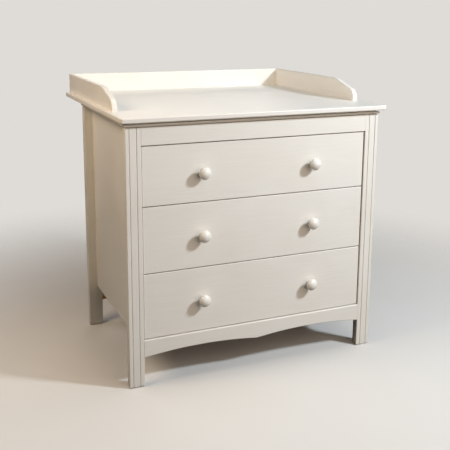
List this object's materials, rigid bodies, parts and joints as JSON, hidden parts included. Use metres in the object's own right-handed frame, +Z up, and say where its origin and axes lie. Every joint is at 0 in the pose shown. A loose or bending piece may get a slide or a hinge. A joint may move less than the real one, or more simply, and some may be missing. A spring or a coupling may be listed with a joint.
{
  "type": "changing table",
  "caption": "Chest of drawers in painted wood under a deeper changing board with upright guards at its left, right and back; the drawers slide out to the front.",
  "frame": {"origin": "on the floor, under the middle of the outline seen from above", "axes": "+Z up, the drawers open towards -Y, +X to the right of someone who stands in front of the drawers and looks at them"},
  "size_m": [0.936, 0.8004, 0.949],
  "materials": {
    "cream_paint": "cream satin lacquer on wood",
    "raw_pine": "planed bare pine",
    "hardboard": "pressed brown hardboard",
    "zinc_steel": "bright zinc-plated sheet",
    "zinc_screw": "zinc-plated",
    "nylon": "matt moulded nylon",
    "beech": "fluted beech dowel, plain here"
  },
  "bodies": {
    "carcass": {"front_leg_left": "cream_paint", "back_leg_left": "cream_paint", "side_panel_left": "cream_paint", "front_leg_right": "cream_paint", "back_leg_right": "cream_paint", "side_panel_right": "cream_paint", "top_rail": "cream_paint", "apron": "cream_paint", "chest_top": "cream_paint", "changing_board": "cream_paint", "guard_left": "cream_paint", "guard_right": "cream_paint", "guard_back": "cream_paint", "back_rail_upper": "raw_pine", "back_rail_lower": "raw_pine", "back_panel": "hardboard", "track_top_left": "zinc_steel", "track_top_right": "zinc_steel", "track_middle_left": "zinc_steel", "track_middle_right": "zinc_steel", "track_bottom_left": "zinc_steel", "track_bottom_right": "zinc_steel", "floor_glides": "nylon", "frame_dowels": "beech", "guard_screws": "zinc_screw", "board_screws": "zinc_screw", "back_panel_screws": "zinc_screw", "track_screws": "zinc_screw"},
    "top_drawer": {"top_drawer_front": "cream_paint", "top_drawer_side_left": "raw_pine", "top_drawer_side_right": "raw_pine", "top_drawer_back": "raw_pine", "top_drawer_bottom": "hardboard", "top_drawer_knob_left": "cream_paint", "top_drawer_knob_right": "cream_paint", "top_drawer_knob_screws": "zinc_screw", "top_drawer_slide_left": "zinc_steel", "top_drawer_slide_right": "zinc_steel"},
    "middle_drawer": {"middle_drawer_front": "cream_paint", "middle_drawer_side_left": "raw_pine", "middle_drawer_side_right": "raw_pine", "middle_drawer_back": "raw_pine", "middle_drawer_bottom": "hardboard", "middle_drawer_knob_left": "cream_paint", "middle_drawer_knob_right": "cream_paint", "middle_drawer_knob_screws": "zinc_screw", "middle_drawer_slide_left": "zinc_steel", "middle_drawer_slide_right": "zinc_steel"},
    "bottom_drawer": {"bottom_drawer_front": "cream_paint", "bottom_drawer_side_left": "raw_pine", "bottom_drawer_side_right": "raw_pine", "bottom_drawer_back": "raw_pine", "bottom_drawer_bottom": "hardboard", "bottom_drawer_knob_left": "cream_paint", "bottom_drawer_knob_right": "cream_paint", "bottom_drawer_knob_screws": "zinc_screw", "bottom_drawer_slide_left": "zinc_steel", "bottom_drawer_slide_right": "zinc_steel"}
  },
  "joints": [
    {"name": "top_drawer_slide", "type": "slide", "parent": "carcass", "child": "top_drawer", "axis": [0, -1, 0], "range_m": [0, 0.36]},
    {"name": "middle_drawer_slide", "type": "slide", "parent": "carcass", "child": "middle_drawer", "axis": [0, -1, 0], "range_m": [0, 0.36]},
    {"name": "bottom_drawer_slide", "type": "slide", "parent": "carcass", "child": "bottom_drawer", "axis": [0, -1, 0], "range_m": [0, 0.36]}
  ]
}
